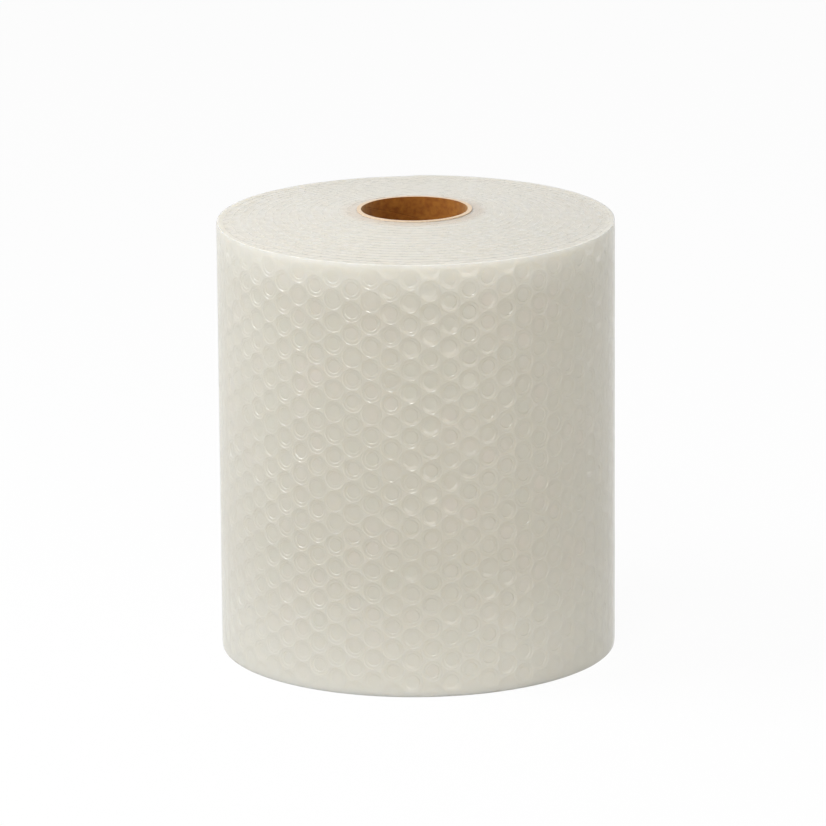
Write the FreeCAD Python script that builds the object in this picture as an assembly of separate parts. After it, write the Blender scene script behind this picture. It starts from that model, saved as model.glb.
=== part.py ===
import FreeCAD
import Part
import math
import os

# A roll of bubble wrap wound on a paperboard core, standing on one end.
# Sizes are in millimetres. Z runs up the roll's axis, and the origin is the centre of the face it stands on.
# The sheet winds outwards anticlockwise, seen from above, and its loose end lies at the back, on +Y.
# The flat film is on the outside and the bubbles point inwards, so the wall shows each bubble as a shallow dish.

# The roll: the web's width is the standing roll's height.
web_width = 500.0
roll_diameter = 460.0
tail_angle = 90.0

# The paperboard core, cut a little longer than the web is wide.
core_bore = 122.0
core_wall = 5.0
core_proud = 2.0

# The bubble sheet: its thickness as wound, the step at its loose end, and the size of its bubbles.
sheet_thickness = 9.5
tail_step = 5.0
bubble_pitch = 25.9
dish_depth = 4.5

# The two ends: the inner turns have slipped up along the core, so the top is a low cone and the underside is hollow.
slip_height = 10.5
film_lip = 1.5
hollow_depth = 2.0
facets_per_turn = 26

# The core's outside and length, and the radius where the outermost turn starts.
core_radius = core_bore / 2 + core_wall
core_length = web_width + 2 * core_proud
wall_radius = roll_diameter / 2 - tail_step

# Places along the sheet are counted in turns: 0 is where its film first closes round the core's own turn of bubbles.
wall_turn = round((wall_radius - core_radius) / sheet_thickness) - 1
rim_turn = wall_turn - 1
turn_pitch = (wall_radius - core_radius) / (wall_turn + 1)

# The bubbles: full ones in a column, the same for its half of the width that is left over, and columns round the wall.
row_count = int(web_width / bubble_pitch)
spare_width = (web_width - row_count * bubble_pitch) / 2
column_count = 2 * round(math.pi * roll_diameter / (math.sqrt(3) * bubble_pitch))


def on_sheet(turn, z, inset=0.0):
    """The point of the sheet's outer film at a place along it, at height z, moved inwards by inset."""
    if turn < wall_turn:
        radius = core_radius + turn_pitch * (turn + 1)
    else:
        radius = wall_radius + tail_step * (turn - wall_turn)
    angle = math.radians(tail_angle) + 2 * math.pi * turn
    return FreeCAD.Vector((radius - inset) * math.cos(angle), (radius - inset) * math.sin(angle), z)


def flat_face(points):
    """One plane face inside a closed row of points."""
    return Part.Face(Part.makePolygon(points + points[:1]))


def fan(centre, ring):
    """Plane triangles from a centre to each pair of neighbours in an open row of points."""
    return [flat_face([centre, a, b]) for a, b in zip(ring, ring[1:])]


def strip(a, b, c, d):
    """The two triangles of a slightly twisted four-sided patch."""
    return [flat_face([a, b, c]), flat_face([a, c, d])]


def end_height(turn, top):
    """The height of a turn's cut edge: the outer rim hasn't slipped, and the turns beside the core have all the way."""
    share = (rim_turn - turn) / (rim_turn - 1)
    return slip_height * min(max(share, 0.0), 1.0) + (web_width if top else 0.0)


def film_edge(turn, top):
    """The cut edge of the film, on the top or the bottom end."""
    return on_sheet(turn, end_height(turn, top))


def hollow(turn, top):
    """The low line just outside that edge, where the cut bubbles of the next turn lie open."""
    depth = -hollow_depth if top else hollow_depth
    return on_sheet(turn, end_height(max(turn, 0.0), top) + depth, -film_lip)


def wound_faces(top):
    """The turns seen on one end: each film edge stands up, and from its foot a hollow climbs to the next edge."""
    faces = []
    for step in range(-facets_per_turn, rim_turn * facets_per_turn):
        a = step / facets_per_turn
        b = (step + 1) / facets_per_turn
        if step >= 0:
            faces += strip(film_edge(a, top), film_edge(b, top), hollow(b, top), hollow(a, top))
        faces += strip(hollow(a, top), hollow(b, top), film_edge(b + 1, top), film_edge(a + 1, top))
    faces.append(flat_face([hollow(-1, top), hollow(0, top), film_edge(0, top)]))
    faces.append(flat_face([film_edge(rim_turn, top), hollow(rim_turn, top), film_edge(rim_turn + 1, top)]))
    return faces


def core_seat(top):
    """The flat ring of the first turn next to the core, closed over the core's place until its hole is cut."""
    return flat_face([hollow(step / facets_per_turn - 1, top) for step in range(facets_per_turn + 1)])


def column_turn(column, thirds=0):
    """The place of a bubble column's centre line, moved by thirds of a column's width."""
    return wall_turn + (column + 0.5 + thirds / 3) / column_count


def row_height(half_rows):
    """The height of a line that many half rows up the web. The first and last one take up the spare width too."""
    if half_rows > row_count:
        return web_width - row_height(2 * row_count - half_rows)
    if half_rows < 1:
        return half_rows * (spare_width + bubble_pitch / 2)
    return spare_width + half_rows * bubble_pitch / 2


def bubble(column, line):
    """The shallow six-sided dish of one bubble, centred on a line of the web and trimmed where the sheet ends."""
    centre = on_sheet(column_turn(column), row_height(line), dish_depth)
    near, far = column_turn(column, -1), column_turn(column, 1)
    right = [(column_turn(column, 2), line)]
    left = [(column_turn(column, -2), line)]
    if column == column_count - 1:
        right = [(wall_turn + 1, line - 0.5), (wall_turn + 1, line + 0.5)]
    if column == 0:
        left = [(wall_turn, line + 0.5), (wall_turn, line - 0.5)]
    corners = [(near, line - 1), (far, line - 1)] + right + [(far, line + 1), (near, line + 1)] + left
    return fan(centre, [on_sheet(turn, row_height(row)) for turn, row in corners + corners[:1]])


def slit_bubble(column, top):
    """What the slitting knife left of a bubble at the web's top or bottom edge, where its film lies round again."""
    edge, inner = (2 * row_count, 2 * row_count - 1) if top else (0, 1)
    centre = on_sheet(column_turn(column), row_height((edge + inner) / 2), dish_depth)
    corners = [(column_turn(column, -2), edge), (column_turn(column, -1), inner), (column_turn(column, 1), inner)]
    if column == column_count - 1:
        corners += [(wall_turn + 1, (edge + inner) / 2), (wall_turn + 1, edge)]
    else:
        corners += [(column_turn(column, 2), edge)]
    corners += [(column_turn(column), edge)]
    return fan(centre, [on_sheet(turn, row_height(row)) for turn, row in corners + corners[:1]])


def end_scraps():
    """The corners of flat film between the bubbles that the sheet's two ends cut through."""
    faces = []
    for line in range(2 * row_count + 1):
        end, corner = (wall_turn + 1, column_turn(column_count - 1, 1)) if line % 2 else (wall_turn, column_turn(0, -1))
        low, high = max(line - 0.5, 0), min(line + 0.5, 2 * row_count)
        scrap = [(end, low), (end, high), (corner, line)]
        faces.append(flat_face([on_sheet(turn, row_height(row)) for turn, row in scrap]))
    return faces


def wall_faces():
    """The outer turn's wall: interlocking columns of bubbles, from one edge of the web to the other."""
    faces = end_scraps()
    for column in range(column_count):
        odd = column % 2
        for row in range(odd, row_count):
            faces += bubble(column, 2 * row + 1 - odd)
        if odd:
            faces += slit_bubble(column, True) + slit_bubble(column, False)
    return faces


def wall_edge(edge, first, last):
    """The wall's round edge at one end of the web, from one bubble column up to another."""
    turns = []
    for column in range(first, last):
        turns += [column_turn(column)] if column % 2 else [column_turn(column, -1), column_turn(column, 1)]
    return [on_sheet(turn, edge) for turn in turns]


def rim_faces(top):
    """The flat ring of the outermost turns, which the roll stands on at its lower end, in two halves."""
    middle = column_count // 2
    half = facets_per_turn // 2
    edge = web_width if top else 0.0
    inner = [film_edge(rim_turn + step / facets_per_turn, top) for step in range(facets_per_turn + 1)]
    front = wall_edge(edge, middle, middle + 1)[:1]
    start = [on_sheet(wall_turn, edge)] + wall_edge(edge, 0, middle) + front
    end = wall_edge(edge, middle, column_count) + [on_sheet(wall_turn + 1, edge)]
    return [flat_face(inner[: half + 1] + start[::-1]), flat_face(inner[half:] + end[::-1])]


def tail_face():
    """The sheet's loose end: a low step down the whole back of the roll."""
    lines = [0] + [line + 0.5 for line in range(2 * row_count)] + [2 * row_count]
    lower = [on_sheet(wall_turn, row_height(line)) for line in lines]
    upper = [on_sheet(wall_turn + 1, row_height(line)) for line in lines]
    return flat_face(lower + upper[::-1])


def core_cylinder(radius):
    """A cylinder as long as the core and in its place: the core has slipped up with the inner turns."""
    return Part.makeCylinder(radius, core_length, FreeCAD.Vector(0, 0, slip_height - core_proud))


def core_tube():
    """The paperboard tube."""
    return core_cylinder(core_radius).cut(core_cylinder(core_bore / 2))


def bubble_wrap():
    """The whole wound sheet as one solid: its dished wall, its loose end and the turns on both ends."""
    faces = wall_faces() + [tail_face()]
    for top in (False, True):
        faces += wound_faces(top) + rim_faces(top) + [core_seat(top)]
    shell = Part.makeShell(faces)
    shell.sewShape()
    return Part.makeSolid(shell).cut(core_cylinder(core_radius))


os.makedirs("parts", exist_ok=True)
for name, shape in {"core_tube": core_tube(), "bubble_wrap": bubble_wrap()}.items():
    shape.exportStep(f"parts/{name}.step")
    print(name, "valid" if shape.isValid() else "NOT VALID", len(shape.Solids), "solid", round(shape.Volume), "mm3")
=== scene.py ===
"""A standing roll of bubble wrap on its paperboard core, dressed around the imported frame. Metres, +Z up."""
import math
import bpy
from mathutils import Matrix, Vector


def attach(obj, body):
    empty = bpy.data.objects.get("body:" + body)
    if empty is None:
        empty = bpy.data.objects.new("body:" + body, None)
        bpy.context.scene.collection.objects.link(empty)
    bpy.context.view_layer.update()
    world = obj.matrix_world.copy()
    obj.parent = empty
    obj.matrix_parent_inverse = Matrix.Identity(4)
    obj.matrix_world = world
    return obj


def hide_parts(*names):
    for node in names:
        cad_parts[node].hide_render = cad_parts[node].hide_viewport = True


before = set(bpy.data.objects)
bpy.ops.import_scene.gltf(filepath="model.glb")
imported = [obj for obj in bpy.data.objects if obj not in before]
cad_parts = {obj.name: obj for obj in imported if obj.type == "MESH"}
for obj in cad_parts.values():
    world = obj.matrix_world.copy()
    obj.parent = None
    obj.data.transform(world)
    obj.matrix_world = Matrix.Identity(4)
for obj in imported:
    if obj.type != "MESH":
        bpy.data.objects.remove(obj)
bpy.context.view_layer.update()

MM = 0.001

# The roll's own sizes, the same as in its source.
WEB_WIDTH = 500 * MM
WALL_RADIUS = 225 * MM
TAIL_STEP = 5 * MM
CORE_OUTSIDE = 66 * MM
CORE_WALL = 5 * MM
CORE_PROUD = 2 * MM
BUBBLE_PITCH = 25.9 * MM
COLUMN_COUNT = 64
WALL_TURN = 16
RIM_TURN = 15
SLIP_HEIGHT = 10.5 * MM
TURN_PITCH = (WALL_RADIUS - CORE_OUTSIDE) / (WALL_TURN + 1)
TAIL_ANGLE = math.radians(90)

# Where the first bubble column stands along the outer turn, and the width that is left over at each edge of the web.
COLUMN_SHIFT = 34.8 * MM
SPARE = (WEB_WIDTH % BUBBLE_PITCH) / 2

# How deep the two layers of the outer turn lie under the solid's surface, and how deep the wound ends are open.
FILM_INSET = 0.2 * MM
BUBBLE_INSET = 1.3 * MM
END_DEPTH = 0.5 * MM

# A bubble: how much of its land its mouth takes, and the steps inwards from the mouth, each a width and a depth: the
# mouth's rim, the slanting wall, the shoulder, and the start of the floor. Then the depths where the land has ended,
# where the wall has, and where the floor has begun.
MOUTH_SHARE = 0.915
BUBBLE_STEPS = [(0.75 * MM, 0.5 * MM), (2.9 * MM, 0.28 * MM), (0.85 * MM, 0.56 * MM), (1.6 * MM, 0.06 * MM)]
LAND_DEPTH = 0.1 * MM
WALL_DEPTH = 1 * MM
FLOOR_DEPTH = 1.2 * MM

# Along both edges of the sheet: how wide the slit bubbles lie slack, and how wide and deep the film curls in.
SLACK_WIDTH = 26 * MM
CURL_WIDTH = 7 * MM
CURL_DEPTH = 0.4 * MM

# The loose end of the film is pressed down over this length.
FLAP = 9 * MM

# Half of the arch that a bubble leaves in a cut edge, wide where the knife met its middle and slim where it met its
# side: each point is a distance along the sheet and a depth inwards, in millimetres.
WIDE_ARCH = [(0.0, 0.4), (1.5, 0.5), (2.1, 3.6), (3.8, 7.2), (7.4, 8.6), (11.2, 8.8)]
SLIM_ARCH = [(0.0, 0.4), (3.4, 0.5), (4.6, 2.8), (6.6, 5.0), (9.0, 5.8), (11.2, 6.0)]

# The strips of board that the core is wound from, and the groove between two of them.
BOARD_WIDTH = 110 * MM
GROOVE_DEPTH = 0.22 * MM


# Handling a piece.

def deselect_all():
    """Leaves object mode ready for the next piece, with nothing selected."""
    if bpy.context.object and bpy.context.object.mode != "OBJECT":
        bpy.ops.object.mode_set(mode="OBJECT")
    bpy.ops.object.select_all(action="DESELECT")


def pick(piece):
    """Makes one piece the only selected and the active one."""
    deselect_all()
    piece.select_set(True)
    bpy.context.view_layer.objects.active = piece


def set_place(piece, location=None, scale=None):
    """Moves or scales a piece and sets that into its mesh."""
    pick(piece)
    piece.location = location or (0, 0, 0)
    piece.scale = scale or (1, 1, 1)
    bpy.ops.object.transform_apply(location=True, rotation=True, scale=True)


def named(name):
    """Names the piece that was just added, and sets its place into its mesh."""
    piece = bpy.context.object
    piece.name = name
    piece.data.name = name
    bpy.ops.object.transform_apply(location=True, rotation=True, scale=True)
    return piece


def edit(piece, kind="VERT", action="DESELECT"):
    """Opens a piece in edit mode, with everything deselected or all of it selected."""
    pick(piece)
    bpy.ops.object.mode_set(mode="EDIT")
    bpy.ops.mesh.select_mode(type=kind)
    bpy.ops.mesh.select_all(action=action)


def finish_modifier(piece, name, kind, **settings):
    """Adds one modifier and applies it."""
    pick(piece)
    modifier = piece.modifiers.new(name, kind)
    for key, value in settings.items():
        setattr(modifier, key, value)
    bpy.ops.object.modifier_apply(modifier=modifier.name)


def row_of(piece, count, step):
    """Repeats a piece along a step, with the copies' edges joined."""
    finish_modifier(
        piece, "row", "ARRAY", count=count, use_relative_offset=False, use_constant_offset=True,
        constant_offset_displace=step, use_merge_vertices=True, merge_threshold=0.05 * MM,
    )


def join(pieces, name):
    """Joins pieces into the first one."""
    deselect_all()
    for piece in pieces:
        piece.select_set(True)
    bpy.context.view_layer.objects.active = pieces[0]
    bpy.ops.object.join()
    pieces[0].name = name
    return pieces[0]


def copy_of(piece, name):
    """A copy with its own mesh."""
    twin = piece.copy()
    twin.data = piece.data.copy()
    twin.name = name
    bpy.context.scene.collection.objects.link(twin)
    return twin


def weld(piece):
    """Merges the points that two joined meshes share."""
    edit(piece, action="SELECT")
    bpy.ops.mesh.remove_doubles(threshold=0.05 * MM)
    bpy.ops.object.mode_set(mode="OBJECT")


def face_outwards(piece):
    """Turns every face of a mesh outwards."""
    edit(piece, "FACE", action="SELECT")
    bpy.ops.mesh.normals_make_consistent(inside=False)
    bpy.ops.object.mode_set(mode="OBJECT")


def shade(piece, degrees):
    """Shades a piece smooth except over edges sharper than an angle."""
    pick(piece)
    bpy.ops.object.shade_smooth_by_angle(angle=math.radians(degrees))


def trim(piece, place, normal, close=False, keep=False):
    """Cuts a piece with a plane, closes the cut if asked, and drops the normal's side unless it is kept."""
    edit(piece, action="SELECT")
    bpy.ops.mesh.bisect(
        plane_co=place, plane_no=normal, clear_outer=not keep, use_fill=close, threshold=0.001 * MM,
    )
    bpy.ops.object.mode_set(mode="OBJECT")


def ruffle(piece, size, strength, direction="Y", group="", shift=0.0):
    """Makes a flat piece of film uneven with soft lumps of a size, half the strength to each side."""
    lumps = bpy.data.textures.new("film unevenness", "CLOUDS")
    lumps.noise_scale = size
    lumps.noise_depth = 1
    place = bpy.data.objects.new("unevenness place", None)
    place.location = (shift, 0, 0)
    bpy.context.scene.collection.objects.link(place)
    bpy.context.view_layer.update()
    finish_modifier(
        piece, "unevenness", "DISPLACE", texture=lumps, texture_coords="OBJECT", texture_coords_object=place,
        direction=direction, strength=strength, mid_level=0.5, vertex_group=group,
    )
    bpy.data.objects.remove(place)


def open_edges(piece, test):
    """Selects, in edit mode, the open edges of a mesh whose two ends pass a test."""
    edit(piece, "EDGE")
    bpy.ops.mesh.select_non_manifold(
        extend=False, use_wire=False, use_boundary=True, use_multi_face=False, use_non_contiguous=False,
        use_verts=False,
    )
    bpy.ops.object.mode_set(mode="OBJECT")
    points = piece.data.vertices
    for face in piece.data.polygons:
        face.select = False
    for edge in piece.data.edges:
        edge.select = edge.select and all(test(points[index].co) for index in edge.vertices)
    bpy.ops.object.mode_set(mode="EDIT")


def draw_edge(piece, place):
    """Extrudes the selected edges, and puts each new point where the place rule says."""
    bpy.ops.mesh.extrude_region_move()
    bpy.ops.object.mode_set(mode="OBJECT")
    for point in piece.data.vertices:
        if point.select:
            point.co = place(point.co)
    bpy.ops.object.mode_set(mode="EDIT")


# The winding.

def film_radius(turn):
    """The radius of the sheet's outer film at a place along it, counted in turns."""
    if turn < WALL_TURN:
        return CORE_OUTSIDE + TURN_PITCH * (turn + 1)
    return WALL_RADIUS + TAIL_STEP * (turn - WALL_TURN)


def slip(turn):
    """How far a turn has slipped up along the core."""
    return SLIP_HEIGHT * min(max((RIM_TURN - turn) / (RIM_TURN - 1), 0.0), 1.0)


def turns_length(first, last):
    """The length of sheet between two places."""
    steps = 2000
    width = (last - first) / steps
    return sum(2 * math.pi * film_radius(first + (step + 0.5) * width) * width for step in range(steps))


def wind(piece, first, last, slipped=False, points_per_turn=120):
    """Winds a flat piece round the core between two places: its +X runs anticlockwise and its +Y points inwards."""
    path = bpy.data.curves.new("winding line", "CURVE")
    path.dimensions = "3D"
    path.twist_mode = "Z_UP"
    line = path.splines.new("POLY")
    count = round((last - first) * points_per_turn) + 1
    line.points.add(count - 1)
    for index, point in enumerate(line.points):
        turn = first + (last - first) * index / (count - 1)
        angle = TAIL_ANGLE + 2 * math.pi * turn
        radius = film_radius(turn)
        point.co = (radius * math.cos(angle), radius * math.sin(angle), slip(turn) if slipped else 0.0, 1.0)
    winding = bpy.data.objects.new("winding line", path)
    bpy.context.scene.collection.objects.link(winding)
    bpy.context.view_layer.update()
    finish_modifier(piece, "winding", "CURVE", object=winding, deform_axis="POS_X")
    bpy.data.objects.remove(winding)


def turn_at(co):
    """How far round the outer turn a point is, from 0 at the loose end to 1."""
    return ((math.atan2(co.y, co.x) - TAIL_ANGLE) / (2 * math.pi)) % 1.0


def at_radius(co, radius, z):
    """The point at the same angle, at another radius and height."""
    scale = radius / math.hypot(co.x, co.y)
    return (co.x * scale, co.y * scale, z)


# The outer turn's bubbles, with everything behind them.

OUTER_LENGTH = turns_length(WALL_TURN, WALL_TURN + 1)
COLUMN = OUTER_LENGTH / COLUMN_COUNT


def bubble_cell():
    """One bubble seen from the film's side: a six-sided land, a round mouth, a slanting wall and a soft floor."""
    deselect_all()
    bpy.ops.mesh.primitive_circle_add(
        vertices=6, radius=BUBBLE_PITCH / math.sqrt(3), fill_type="NGON", rotation=(math.pi / 2, math.pi / 6, 0),
    )
    cell = named("bubble cell")
    edit(cell, "EDGE", action="SELECT")
    bpy.ops.mesh.subdivide(number_cuts=1)
    bpy.ops.mesh.select_mode(type="FACE")
    bpy.ops.mesh.select_all(action="SELECT")
    bpy.ops.mesh.inset(thickness=0.4 * MM, depth=0)
    bpy.ops.transform.tosphere(value=1.0)
    bpy.ops.transform.resize(value=(MOUTH_SHARE, MOUTH_SHARE, MOUTH_SHARE))
    for width, depth in BUBBLE_STEPS:
        bpy.ops.mesh.inset(thickness=width, depth=-depth)
    bpy.ops.mesh.poke()
    bpy.ops.object.mode_set(mode="OBJECT")
    set_place(cell, scale=(COLUMN / (BUBBLE_PITCH * math.sqrt(3) / 2), 1, 1))
    floor = cell.vertex_groups.new(name="floor")
    floor.add([v.index for v in cell.data.vertices if v.co.y > FLOOR_DEPTH], 1.0, "REPLACE")
    # A share of painted shade: the walls, and the lands by half, are painted a little darker than the crowns, for
    # how the light falls on the film's slopes.
    slant = cell.data.attributes.new("painted_bubble_wall_shade", "FLOAT", "POINT")
    for point, share in zip(cell.data.vertices, slant.data):
        share.value = 0.5 if point.co.y < LAND_DEPTH else 1.0 if point.co.y < WALL_DEPTH else 0.0
    return cell


def flat_bubbles(name, length, width):
    """A flat sheet of bubbles in staggered columns, trimmed to its length and width."""
    even = bubble_cell()
    row_of(even, math.ceil(width / BUBBLE_PITCH) + 2, (0, 0, BUBBLE_PITCH))
    odd = copy_of(even, "odd column")
    set_place(odd, location=(COLUMN, 0, BUBBLE_PITCH / 2))
    sheet = join([even, odd], name)
    weld(sheet)
    row_of(sheet, math.ceil(length / (2 * COLUMN)) + 2, (2 * COLUMN, 0, 0))
    set_place(sheet, location=(COLUMN_SHIFT - 2 * COLUMN, 0, SPARE - BUBBLE_PITCH / 2))
    trim(sheet, (0, 0, 0), (-1, 0, 0))
    trim(sheet, (length, 0, 0), (1, 0, 0))
    trim(sheet, (0, 0, 0), (0, 0, -1))
    trim(sheet, (0, 0, width), (0, 0, 1))
    return sheet


def close_end(piece, top):
    """Turns the wall's open edge over, down into the wound end and along its floor to the core."""
    edge = WEB_WIDTH if top else 0.0
    down = -END_DEPTH if top else END_DEPTH
    open_edges(piece, lambda co: abs(co.z - edge) < 0.5 * MM)
    draw_edge(piece, lambda co: at_radius(co, math.hypot(co.x, co.y) - 0.4 * MM, edge))
    draw_edge(piece, lambda co: at_radius(co, film_radius(WALL_TURN + turn_at(co)) - 8 * MM, edge + down))
    draw_edge(piece, lambda co: at_radius(co, film_radius(RIM_TURN) - 2 * MM, edge + down))
    draw_edge(piece, lambda co: at_radius(co, film_radius(1), edge + down + SLIP_HEIGHT))
    draw_edge(piece, lambda co: at_radius(co, film_radius(0) - 2 * MM, edge + down + SLIP_HEIGHT))
    draw_edge(piece, lambda co: at_radius(co, CORE_OUTSIDE + 2 * MM, edge - down * 1.4 + SLIP_HEIGHT))
    draw_edge(piece, lambda co: at_radius(co, CORE_OUTSIDE, edge - down * 2 + SLIP_HEIGHT))
    bpy.ops.object.mode_set(mode="OBJECT")


def roll_edges_in(piece):
    """Curls both edges of a flat piece inwards, where the cut bubbles hold no air."""
    for point in piece.data.vertices:
        beyond = max(1 - min(point.co.z, WEB_WIDTH - point.co.z) / CURL_WIDTH, 0)
        point.co.y += CURL_DEPTH * beyond * beyond


def slacken_edges(piece):
    """Flattens the bubbles along both edges of the sheet, where they are slit and hold no air."""
    for point in piece.data.vertices:
        share = min(point.co.z / SLACK_WIDTH, (WEB_WIDTH - point.co.z) / SLACK_WIDTH, 1.0)
        point.co.y *= share * share * (3 - 2 * share)


def bubble_body():
    """The outer turn's bubbles and the turns behind them as one closed body, a little hollow at both ends."""
    body = flat_bubbles("wound_bubbles", OUTER_LENGTH, WEB_WIDTH)
    ruffle(body, 22 * MM, 1.5 * MM, group="floor")
    ruffle(body, 60 * MM, 0.4 * MM)
    slacken_edges(body)
    set_place(body, location=(0, BUBBLE_INSET, 0))
    wind(body, WALL_TURN, WALL_TURN + 1, points_per_turn=720)
    open_edges(body, lambda co: abs(co.x) < 0.05 * MM and co.y > 0)
    bpy.ops.mesh.bridge_edge_loops()
    close_end(body, True)
    close_end(body, False)
    open_edges(body, lambda co: True)
    bpy.ops.mesh.bridge_edge_loops()
    bpy.ops.object.mode_set(mode="OBJECT")
    face_outwards(body)
    shade(body, 21)
    return body


def outer_film():
    """The flat film over the bubbles: one clear turn whose loose end is pressed down over its own start."""
    length = OUTER_LENGTH + FLAP
    deselect_all()
    bpy.ops.mesh.primitive_grid_add(x_subdivisions=300, y_subdivisions=150, size=1, rotation=(math.pi / 2, 0, 0))
    film = named("outer_film")
    set_place(film, location=(length / 2, 0, WEB_WIDTH / 2), scale=(length, 1, WEB_WIDTH))
    ruffle(film, 45 * MM, 0.35 * MM, shift=3.0)
    for point in film.data.vertices:
        beyond = max(point.co.x - OUTER_LENGTH, 0.0) / FLAP
        point.co.y += FILM_INSET + (TAIL_STEP - 0.7 * MM) * beyond * beyond * (3 - 2 * beyond)
    roll_edges_in(film)
    wind(film, WALL_TURN, WALL_TURN + 1 + FLAP / OUTER_LENGTH)
    finish_modifier(film, "film thickness", "SOLIDIFY", thickness=0.12 * MM, offset=-1)
    face_outwards(film)
    shade(film, 40)
    return film


# The wound ends.

def film_strip(name, low, high, places):
    """A standing strip of film, drawn through a row of places: each a distance along and a depth inwards."""
    deselect_all()
    bpy.ops.mesh.primitive_plane_add(size=1, rotation=(math.pi / 2, 0, 0))
    strip = named(name)
    for point in strip.data.vertices:
        along, depth = places[1] if point.co.x > 0 else places[0]
        point.co = (along, depth, high if point.co.z > 0 else low)
    open_edges(strip, lambda co: abs(co.x - places[1][0]) < 0.001 * MM)
    for along, depth in places[2:]:
        draw_edge(strip, lambda co: (along, depth, co.z))
    bpy.ops.object.mode_set(mode="OBJECT")
    return strip


def wound_end(top):
    """The cut edges of all inner turns on one end: a flat film, and the arches that the bubbles leave inside it."""
    low, high = 0.1 * MM, END_DEPTH + 1 * MM
    if top:
        low, high = WEB_WIDTH - high, WEB_WIDTH - low
    flat = film_strip("flat film", low, high, [(COLUMN * step / 3, 0.0) for step in range(7)])
    arches = []
    for start, half in ((0.0, WIDE_ARCH), (COLUMN, SLIM_ARCH)):
        whole = half + [(COLUMN / MM - along, depth) for along, depth in reversed(half[:-1])]
        arches += [(start + along * MM, depth * MM) for along, depth in whole]
    bubbles = film_strip("bubble film", low, high, arches[:11] + arches[12:])
    strip = join([flat, bubbles], "wound_top" if top else "wound_bottom")
    length = turns_length(0, WALL_TURN)
    row_of(strip, round(length / (2 * COLUMN)), (2 * COLUMN, 0, 0))
    ruffle(strip, 16 * MM, 0.2 * MM, direction="Z", shift=0.4)
    ruffle(strip, 12 * MM, 1.2 * MM, shift=0.9)
    wind(strip, 0, WALL_TURN, slipped=True)
    face_outwards(strip)
    # Several times as thick as the real film, so that an edge shows in the picture at all.
    finish_modifier(strip, "film thickness", "SOLIDIFY", thickness=0.35 * MM, offset=0, use_even_offset=False)
    face_outwards(strip)
    shade(strip, 40)
    return strip


# The core.

def paperboard_core():
    """The core: strips of board wound as a helix, so a fine seam climbs its inside and outside."""
    bore = CORE_OUTSIDE - CORE_WALL
    climb = BOARD_WIDTH / math.cos(math.asin(BOARD_WIDTH / (2 * math.pi * bore)))
    low = SLIP_HEIGHT - CORE_PROUD
    high = low + WEB_WIDTH + 2 * CORE_PROUD
    deselect_all()
    bpy.ops.mesh.primitive_plane_add(size=1, rotation=(math.pi / 2, 0, 0))
    core = named("paperboard_core")
    edit(core)
    bpy.ops.object.mode_set(mode="OBJECT")
    for point in core.data.vertices:
        point.select = point.co.x > 0
    bpy.ops.object.mode_set(mode="EDIT")
    bpy.ops.mesh.delete(type="VERT")
    bpy.ops.object.mode_set(mode="OBJECT")
    for point in core.data.vertices:
        point.select = point.co.z > 0
        point.co = (bore, 0, -1.2 * MM if point.select else -climb)
    bpy.ops.object.mode_set(mode="EDIT")
    for height, depth in ((-0.9 * MM, GROOVE_DEPTH), (-0.3 * MM, GROOVE_DEPTH), (0.0, 0.0)):
        draw_edge(core, lambda co: (bore + depth, 0, height))
    bpy.ops.object.mode_set(mode="OBJECT")
    finish_modifier(
        core, "helix", "SCREW", axis="Z", angle=2 * math.pi, screw_offset=climb, steps=96, render_steps=96,
        iterations=math.ceil(high / climb) + 2, use_merge_vertices=False,
    )
    weld(core)
    face_outwards(core)
    finish_modifier(
        core, "board thickness", "SOLIDIFY", thickness=CORE_WALL - 0.2 * MM, offset=1, use_even_offset=True,
    )
    trim(core, (0, 0, low), (0, 0, -1), close=True)
    trim(core, (0, 0, high), (0, 0, 1), close=True)
    for height in (low + CORE_PROUD, high - CORE_PROUD):
        trim(core, (0, 0, height), (0, 0, 1), keep=True)
    face_outwards(core)
    shade(core, 30)
    return core


# Materials.

def linear(code):
    """A six-digit sRGB colour as linear RGBA."""
    channels = [int(code[start:start + 2], 16) / 255 for start in (0, 2, 4)]
    return tuple(c / 12.92 if c <= 0.04045 else ((c + 0.055) / 1.055) ** 2.4 for c in channels) + (1.0,)


def node(tree, kind, links=None, **settings):
    """Adds one node to a tree, with its own settings, the values of its sockets and the links that lead to it."""
    made = tree.nodes.new(kind)
    sockets = settings.pop("sockets", {})
    for key, value in settings.items():
        setattr(made, key, value)
    for key, value in sockets.items():
        made.inputs[key].default_value = value
    for key, source in (links or {}).items():
        tree.links.new(source, made.inputs[key])
    return made


def new_material(name):
    """An empty node material and its tree."""
    material = bpy.data.materials.new(name)
    material.use_nodes = True
    material.node_tree.nodes.clear()
    return material, material.node_tree


def colour_steps(tree, source, stops):
    """A ramp that turns a value into one of several colours."""
    ramp = node(tree, "ShaderNodeValToRGB", {"Fac": source})
    steps = ramp.color_ramp.elements
    for index, (place, code) in enumerate(stops):
        step = steps[index] if index < 2 else steps.new(place)
        step.position = place
        step.color = linear(code)
    return ramp.outputs["Color"]


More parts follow.
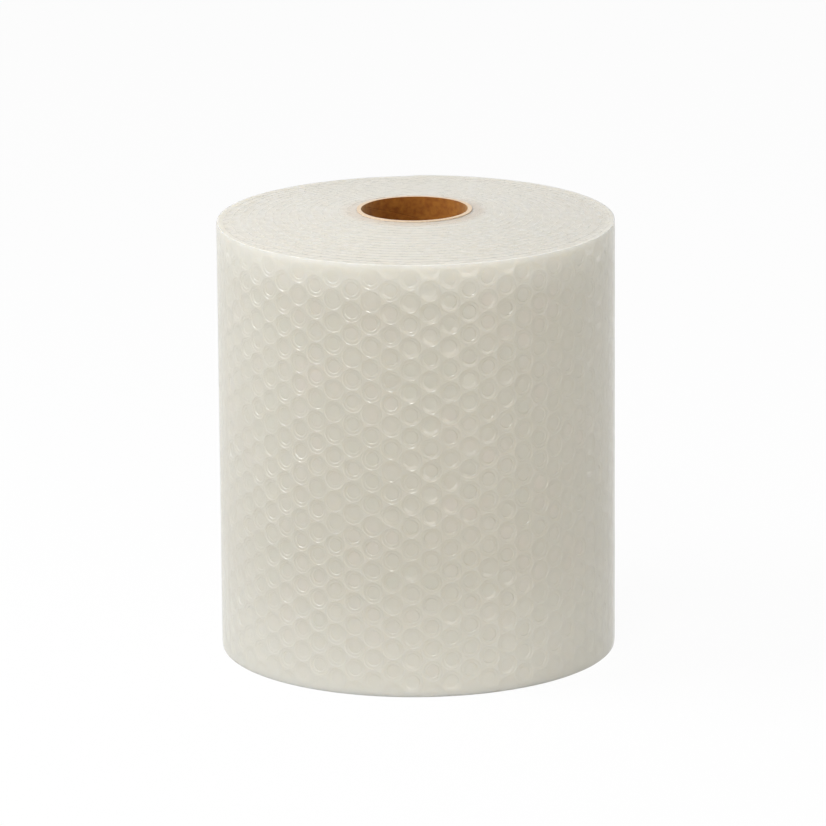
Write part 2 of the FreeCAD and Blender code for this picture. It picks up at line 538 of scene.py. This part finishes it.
def milky_polyethylene():
    """Low-density polyethylene, vacuum-formed into bubbles and wound in many layers."""
    # It gives the eye a milky depth with soft crescents of gloss. It is painted paler over its top 52 mm, as painted
    # light for what enters between the layers at the open end, and over its lowest 170 mm, as painted light thrown
    # up from the floor. Its colour drifts over about two bubbles, as the layers behind it shift.
    material, tree = new_material("milky polyethylene bubbles")
    place = node(tree, "ShaderNodeTexCoord").outputs["Object"]
    clouds = node(
        tree, "ShaderNodeTexNoise", {"Vector": place},
        sockets={"Scale": 1 / (50 * MM), "Detail": 3, "Roughness": 0.55},
    )
    crown = colour_steps(tree, clouds.outputs["Fac"], [(0.3, "D2D0C2"), (0.5, "D5D1C4"), (0.7, "D9D2C6")])
    # Painted shade: the walls, and the lands by half, are mixed towards a colour a little darker than the crowns,
    # for how light falls on the slopes of each bubble.
    slant = node(tree, "ShaderNodeAttribute", attribute_name="painted_bubble_wall_shade")
    painted_wall_shade = node(
        tree, "ShaderNodeMix", {"Factor": slant.outputs["Fac"], "A": crown}, data_type="RGBA",
        sockets={"B": linear("D2CEC1")},
    )
    # Painted light: the colour is mixed towards a near white over the top 52 mm and over the lowest 170 mm.
    height = node(tree, "ShaderNodeSeparateXYZ", {"Vector": place}).outputs["Z"]
    from_top = node(
        tree, "ShaderNodeMapRange", {"Value": height}, interpolation_type="SMOOTHSTEP",
        sockets={"From Min": WEB_WIDTH - 52 * MM, "From Max": WEB_WIDTH, "To Max": 0.7},
    )
    from_below = node(
        tree, "ShaderNodeMapRange", {"Value": height}, interpolation_type="SMOOTHSTEP",
        sockets={"From Min": 170 * MM, "From Max": 0.0, "To Max": 0.6},
    )
    painted_end_and_floor_light = node(
        tree, "ShaderNodeMath", {0: from_top.outputs["Result"], 1: from_below.outputs["Result"]}, operation="ADD",
    )
    colour = node(
        tree, "ShaderNodeMix", {"Factor": painted_end_and_floor_light.outputs[0], "A": painted_wall_shade.outputs["Result"]}, data_type="RGBA",
        sockets={"B": linear("EFEEE7")},
    )
    # The dents of a bubble pressed by its neighbours, about a third of it across.
    lumps = node(tree, "ShaderNodeTexNoise", {"Vector": place}, sockets={"Scale": 1 / (9 * MM), "Detail": 3})
    bump = node(
        tree, "ShaderNodeBump", {"Height": lumps.outputs["Fac"]}, sockets={"Strength": 0.25, "Distance": 1.4 * MM},
    )
    shader = node(
        tree, "ShaderNodeBsdfPrincipled", {"Base Color": colour.outputs["Result"], "Normal": bump.outputs["Normal"]},
        sockets={
            "Roughness": 0.4, "IOR": 1.5, "Coat Weight": 1.0, "Coat Roughness": 0.21, "Coat IOR": 1.8,
            "Subsurface Weight": 1.0, "Subsurface Radius": (1.0, 0.92, 0.8), "Subsurface Scale": 16 * MM,
        },
    )
    tree.links.new(bump.outputs["Normal"], shader.inputs["Coat Normal"])
    node(tree, "ShaderNodeOutputMaterial", {"Surface": shader.outputs["BSDF"]})
    return material


def clear_film():
    """Blown low-density polyethylene film, laminated flat over the bubbles."""
    # It gives the eye a thin gloss: it is almost clear face on, and pale and shiny at a flat angle. The paleness is
    # its pale colour let through more at a flat angle: partly the film's own cloudiness, partly painted reflection
    # of the white surroundings.
    material, tree = new_material("clear polyethylene film")
    place = node(tree, "ShaderNodeTexCoord").outputs["Object"]
    slant = node(tree, "ShaderNodeLayerWeight", sockets={"Blend": 0.25})
    # Painted reflection, in part: less of the film is clear at a flat angle, so its pale colour shows there.
    film_haze_and_painted_reflection = node(
        tree, "ShaderNodeMapRange", {"Value": slant.outputs["Facing"]},
        sockets={"From Min": 0.1, "From Max": 1.0, "To Min": 0.10, "To Max": 0.65},
    )
    # Shallow ripples, a little closer than the bubbles that hold the film.
    ripples = node(tree, "ShaderNodeTexNoise", {"Vector": place}, sockets={"Scale": 1 / (20 * MM), "Detail": 3})
    bump = node(
        tree, "ShaderNodeBump", {"Height": ripples.outputs["Fac"]}, sockets={"Strength": 0.3, "Distance": 1.2 * MM},
    )
    shader = node(
        tree, "ShaderNodeBsdfPrincipled", {"Alpha": film_haze_and_painted_reflection.outputs["Result"], "Normal": bump.outputs["Normal"]},
        sockets={"Base Color": linear("D3D0C3"), "Roughness": 0.14, "IOR": 1.4},
    )
    node(tree, "ShaderNodeOutputMaterial", {"Surface": shader.outputs["BSDF"]})
    return material


def cut_edges(name, dim, pale, alpha, depth):
    """The same film cut by a slitting knife, seen from its edges."""
    # It gives the eye a soft white, painted warmer near the core: painted light, for the core's brown light showing
    # through the film. The cut bubbles lie about half a bubble apart, and its colour and bump change over that size.
    material, tree = new_material(name)
    place = node(tree, "ShaderNodeTexCoord").outputs["Object"]
    clouds = node(tree, "ShaderNodeTexNoise", {"Vector": place}, sockets={"Scale": 1 / (12 * MM), "Detail": 4})
    white = colour_steps(tree, clouds.outputs["Fac"], [(0.3, dim), (0.7, pale)])
    level = node(tree, "ShaderNodeVectorMath", {0: place}, operation="MULTIPLY", sockets={1: (1, 1, 0)})
    radius = node(tree, "ShaderNodeVectorMath", {0: level.outputs["Vector"]}, operation="LENGTH")
    # Painted light: within 22 mm of the core the colour turns towards the core's brown.
    near_core = node(
        tree, "ShaderNodeMapRange", {"Value": radius.outputs["Value"]}, interpolation_type="SMOOTHSTEP",
        sockets={"From Min": CORE_OUTSIDE + 22 * MM, "From Max": CORE_OUTSIDE, "To Max": 0.6},
    )
    colour = node(
        tree, "ShaderNodeMix", {"Factor": near_core.outputs["Result"], "A": white}, data_type="RGBA",
        sockets={"B": linear("D0BCA6")},
    ).outputs["Result"]
    bump = node(
        tree, "ShaderNodeBump", {"Height": clouds.outputs["Fac"]}, sockets={"Strength": 0.3, "Distance": 1.5 * MM},
    )
    shader = node(
        tree, "ShaderNodeBsdfPrincipled", {"Base Color": colour, "Normal": bump.outputs["Normal"]},
        sockets={
            "Roughness": 0.35, "IOR": 1.5, "Alpha": alpha,
            "Subsurface Weight": depth, "Subsurface Radius": (1.0, 0.92, 0.8), "Subsurface Scale": 10 * MM,
        },
    )
    node(tree, "ShaderNodeOutputMaterial", {"Surface": shader.outputs["BSDF"]})
    return material


def brown_board():
    """Kraft paperboard, glued from strips that are wound as a helix."""
    # It gives the eye a warm matt brown with a golden sheen at a flat angle. Its fibres are 1 to 3 mm long, and they
    # are drawn at 6 mm, because finer ones don't show.
    material, tree = new_material("kraft paperboard")
    place = node(tree, "ShaderNodeTexCoord").outputs["Object"]
    fibres = node(tree, "ShaderNodeTexNoise", {"Vector": place}, sockets={"Scale": 1 / (6 * MM), "Detail": 4})
    colour = colour_steps(tree, fibres.outputs["Fac"], [(0.3, "90521A"), (0.7, "B0722A")])
    bump = node(
        tree, "ShaderNodeBump", {"Height": fibres.outputs["Fac"]}, sockets={"Strength": 0.3, "Distance": 0.3 * MM},
    )
    shader = node(
        tree, "ShaderNodeBsdfPrincipled", {"Base Color": colour, "Normal": bump.outputs["Normal"]},
        sockets={
            "Roughness": 0.7, "Specular IOR Level": 0.2,
            "Sheen Weight": 1.0, "Sheen Roughness": 0.4, "Sheen Tint": linear("FBE3B4"),
        },
    )
    node(tree, "ShaderNodeOutputMaterial", {"Surface": shader.outputs["BSDF"]})
    return material


def cut_board():
    """The sawn edge of the same board."""
    # It gives the eye a thin pale ring, because its fibres stand open. Its plies are about 0.5 mm thick, and their
    # unevenness is drawn at 3 mm, because a finer one doesn't show.
    material, tree = new_material("cut paperboard edge")
    place = node(tree, "ShaderNodeTexCoord").outputs["Object"]
    plies = node(tree, "ShaderNodeTexNoise", {"Vector": place}, sockets={"Scale": 1 / (3 * MM), "Detail": 3})
    colour = colour_steps(tree, plies.outputs["Fac"], [(0.3, "DFC6A8"), (0.7, "EEDABF")])
    shader = node(tree, "ShaderNodeBsdfPrincipled", {"Base Color": colour}, sockets={"Roughness": 0.9})
    node(tree, "ShaderNodeOutputMaterial", {"Surface": shader.outputs["BSDF"]})
    return material


# The studio.

def seen_or_reflected(tree):
    """One where a ray comes straight from the camera, from a mirror or through glass."""
    light_path = node(tree, "ShaderNodeLightPath")
    seen = node(
        tree, "ShaderNodeMath",
        {0: light_path.outputs["Is Camera Ray"], 1: light_path.outputs["Is Glossy Ray"]}, operation="ADD",
    )
    return node(
        tree, "ShaderNodeMath",
        {0: seen.outputs[0], 1: light_path.outputs["Is Transmission Ray"]}, operation="ADD", use_clamp=True,
    ).outputs[0]


def studio_world(level):
    """A white background, and an even soft light on the object."""
    world = bpy.data.worlds.new("studio")
    bpy.context.scene.world = world
    world.use_nodes = True
    tree = world.node_tree
    tree.nodes.clear()
    strength = node(
        tree, "ShaderNodeMapRange", {"Value": seen_or_reflected(tree)}, sockets={"To Min": level, "To Max": 1.0},
    )
    background = node(
        tree, "ShaderNodeBackground", {"Strength": strength.outputs["Result"]}, sockets={"Color": linear("FFFFFF")},
    )
    node(tree, "ShaderNodeOutputWorld", {"Surface": background.outputs["Background"]})


def studio_floor():
    """A white floor: a small share of plain paint in what the camera sees of it keeps the roll's shadow."""
    deselect_all()
    bpy.ops.mesh.primitive_plane_add(size=30)
    floor = named("studio_floor")
    material, tree = new_material("matt white paint")
    paint = node(tree, "ShaderNodeBsdfDiffuse", sockets={"Color": linear("F2F2F2")})
    white = node(tree, "ShaderNodeEmission", sockets={"Color": linear("FFFFFF"), "Strength": 1.0})
    share = node(tree, "ShaderNodeMath", {0: seen_or_reflected(tree)}, sockets={1: 0.95}, operation="MULTIPLY")
    mix = node(
        tree, "ShaderNodeMixShader",
        {"Fac": share.outputs[0], 1: paint.outputs["BSDF"], 2: white.outputs["Emission"]},
    )
    node(tree, "ShaderNodeOutputMaterial", {"Surface": mix.outputs["Shader"]})
    floor.data.materials.append(material)


def soft_light(name, place, width, height, power, tint):
    """A rectangular soft light that faces the middle of the roll."""
    lamp = bpy.data.lights.new(name, "AREA")
    lamp.shape = "RECTANGLE"
    lamp.size = width
    lamp.size_y = height
    lamp.energy = power
    lamp.color = linear(tint)[:3]
    light = bpy.data.objects.new(name, lamp)
    middle = Vector((0, 0, WEB_WIDTH / 2))
    aim = (middle - Vector(place)).to_track_quat("-Z", "Y")
    light.matrix_world = Matrix.Translation(place) @ aim.to_matrix().to_4x4()
    light.visible_camera = False
    bpy.context.scene.collection.objects.link(light)


def photo_camera():
    """A long lens, a little above the roll, as in the photograph."""
    lens = bpy.data.cameras.new("camera")
    lens.lens = 287.91
    lens.sensor_width = 36
    camera = bpy.data.objects.new("camera", lens)
    place = Matrix.Translation((-0.00336, -7.3405, 2.1988))
    camera.matrix_world = place @ Matrix.Rotation(math.pi / 2 - 0.25676, 4, "X") @ Matrix.Rotation(-0.00744, 4, "Z")
    bpy.context.scene.collection.objects.link(camera)
    bpy.context.scene.camera = camera


def finish(piece, material, node_name):
    """Gives a finished piece its material and its body, and hides the imported node that it stands for."""
    piece.data.materials.clear()
    piece.data.materials.append(material)
    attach(piece, "root")
    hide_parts(node_name)


def pack_ends(body):
    """Gives the body's two ends, behind the outer turn, the look of packed film."""
    body.data.materials.append(cut_edges("packed polyethylene film", "D9D5C8", "DFDBCF", 1.0, 1.0))
    for face in body.data.polygons:
        centre = face.center
        inside = film_radius(WALL_TURN + turn_at(centre)) - math.hypot(centre.x, centre.y)
        face.material_index = 1 if inside > 5 * MM or abs(face.normal.z) > 0.8 else 0


def saw_ends(core):
    """Gives the core's sawn ends, and the bit of its outside that stands proud, the pale look of cut board."""
    core.data.materials.append(cut_board())
    for face in core.data.polygons:
        outside = face.normal.dot(Vector((face.center.x, face.center.y, 0))) > 0
        proud = abs(face.center.z - SLIP_HEIGHT - WEB_WIDTH / 2) > WEB_WIDTH / 2
        face.material_index = 1 if abs(face.normal.z) > 0.9 or (outside and proud) else 0


# The slit strips are painted paler than the packed film below them: painted light, which offsets the shade on their
# thin sides.
slit_film = cut_edges("slit polyethylene film", "E4E1D6", "EAE8DE", 0.13, 0.0)
body = bubble_body()
finish(body, milky_polyethylene(), "bubble_wrap")
pack_ends(body)
finish(outer_film(), clear_film(), "bubble_wrap")
finish(wound_end(True), slit_film, "bubble_wrap")
finish(wound_end(False), slit_film, "bubble_wrap")
core = paperboard_core()
finish(core, brown_board(), "core_tube")
saw_ends(core)

# The background lights the roll at a part of its seen strength. Then each soft light's name, place, width, height,
# power in watts and tint: the left is a little cooler than the right.
photo_camera()
studio_world(0.38)
studio_floor()
soft_light("high left light", (-2.7, -0.4, 2.8), 1.8, 1.8, 91, "F9FAFF")
soft_light("high front light", (-0.6, -2.2, 2.9), 0.9, 0.9, 30, "FFFFFF")
soft_light("low front light", (1.3, -3.2, 0.52), 4.5, 1.0, 32, "FFF9F1")
soft_light("low back light", (2.6, 1.8, 0.5), 2.0, 0.9, 14, "FFFFFF")
bpy.context.scene.view_settings.view_transform = "Standard"
